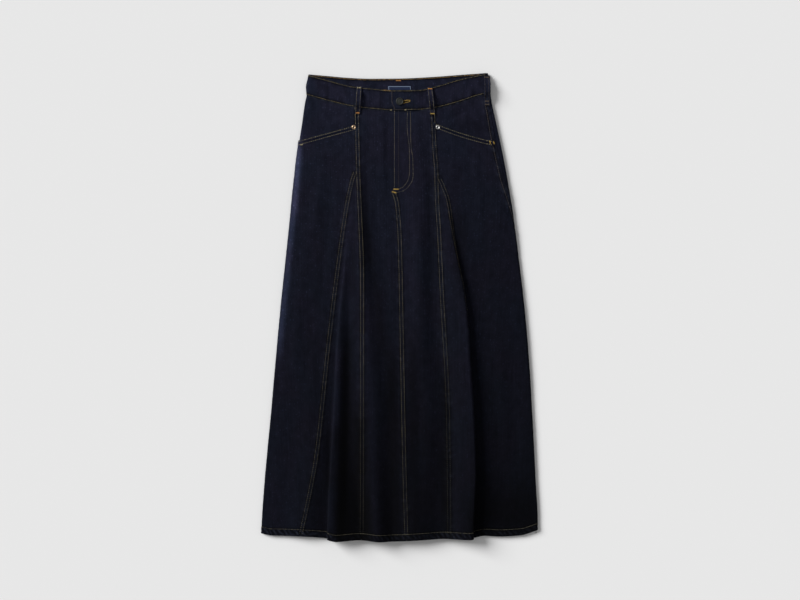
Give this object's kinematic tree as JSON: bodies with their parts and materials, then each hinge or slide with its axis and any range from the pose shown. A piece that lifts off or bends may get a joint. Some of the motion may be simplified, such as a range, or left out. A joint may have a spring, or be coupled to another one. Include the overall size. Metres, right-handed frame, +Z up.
{
  "type": "denim skirt",
  "caption": "Long A-line denim skirt laid flat on its back, with a contoured waistband, belt loops, slant pockets, a fly and godets that fold at the hem.",
  "frame": {"origin": "middle of the skirt's box, on the surface that it lies on", "axes": "+Z up out of the surface, +Y from the hem to the waist, +X towards the wearer's left, which is the picture's right"},
  "size_m": [0.5541, 0.9341, 0.0277],
  "materials": {
    "denim": "very dark indigo twill, matt, with a faint weft fleck",
    "thread": "tan and grey-gold topstitching thread",
    "label_weave": "navy woven satin with a pale border",
    "button_metal": "blackened, semi-matt",
    "copper_rivet": "worn copper colour",
    "pale_rivet": "pale, slightly worn"
  },
  "bodies": {
    "root": {"centre_front_right": "denim", "centre_front_left": "denim", "gore_right": "denim", "gore_left": "denim", "side_front_right": "denim", "side_front_left": "denim", "pocket_facing_right": "denim", "pocket_facing_left": "denim", "back_right": "denim", "back_left": "denim", "waistband_front_right": "denim", "waistband_front_left": "denim", "waistband_back": "denim", "belt_loop_front_right": "denim", "belt_loop_front_left": "denim", "belt_loop_side_left": "denim", "belt_loop_centre_back": "denim", "belt_loop_side_right": "denim", "waist_button": "button_metal", "pocket_rivet_right": "copper_rivet", "pocket_rivet_left": "pale_rivet", "waist_label": "label_weave"}
  },
  "joints": []
}
